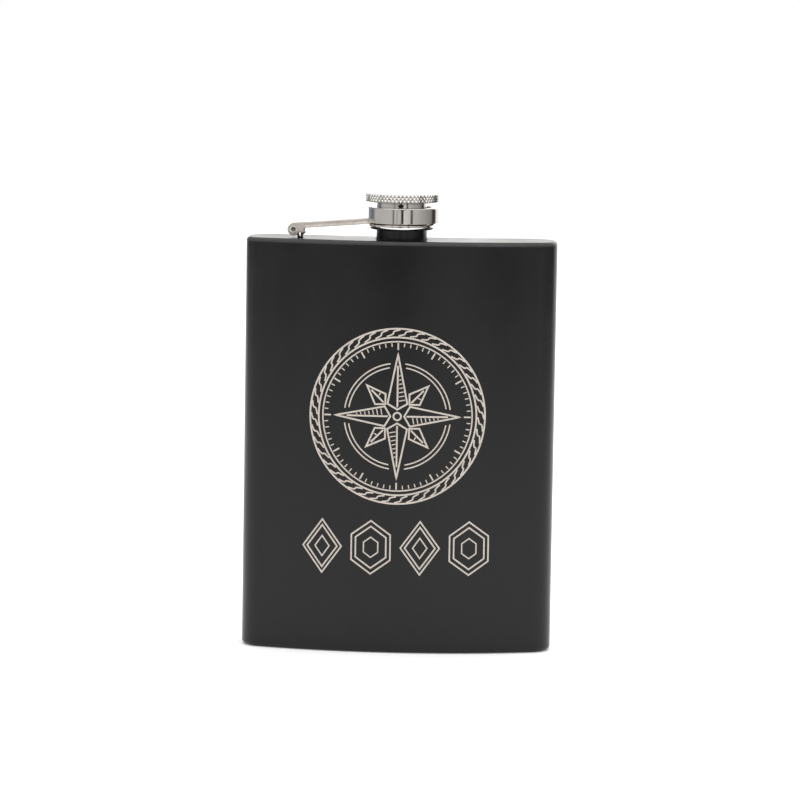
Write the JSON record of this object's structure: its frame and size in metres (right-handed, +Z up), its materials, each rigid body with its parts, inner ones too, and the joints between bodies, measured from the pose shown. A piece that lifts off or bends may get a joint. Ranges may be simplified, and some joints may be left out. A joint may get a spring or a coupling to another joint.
{
  "type": "hip flask",
  "caption": "Kidney-shaped steel pocket flask with a hollow back, a threaded neck and a knurled screw cap held by a swinging strap.",
  "frame": {"origin": "middle of the footprint, on the surface the flask stands on", "axes": "+Z up along the neck; -Y out of the bulging front, +Y out of the hollow back; +X to the right seen from the front, the strap's hinge is at -X"},
  "size_m": [0.095, 0.0262, 0.1403],
  "materials": {
    "body_coat": "matte black powder coat on stainless steel",
    "arm_chrome": "polished",
    "cap_chrome": "polished, fine diamond knurl on the head's rim",
    "pin_steel": "plain drawn steel",
    "rivet_steel": "turned steel",
    "seal_rubber": "translucent white silicone"
  },
  "bodies": {
    "flask": {"front_panel": "body_coat", "back_panel": "body_coat", "base_plate": "body_coat", "top_plate": "body_coat", "neck_spout": "body_coat", "hinge_lug": "body_coat"},
    "arm": {"arm_strap": "arm_chrome", "arm_ring": "arm_chrome", "hinge_pin": "pin_steel"},
    "seal": {"cap_seal": "seal_rubber"},
    "cap": {"cap_head": "cap_chrome", "cap_rivet": "rivet_steel", "cap_cup": "cap_chrome"}
  },
  "joints": [
    {"name": "arm_swing", "type": "hinge", "parent": "flask", "child": "arm", "pos_m": [-0.0329, -0.00164, 0.1284], "axis": [0, -1, 0], "range_deg": [0, 175]},
    {"name": "cap_lift", "type": "slide", "parent": "arm", "child": "seal", "axis": [0, 0, 1], "range_m": [-0.0015, 0]},
    {"name": "cap_turn", "type": "hinge", "parent": "seal", "child": "cap", "pos_m": [0, -0.00164, 0.1339], "axis": [0, 0, 1], "range_deg": [-432, 0]}
  ],
  "couplings": [
    {"joint": "cap_lift", "follows": "cap_turn", "m_per_rad": 0.00019894}
  ]
}
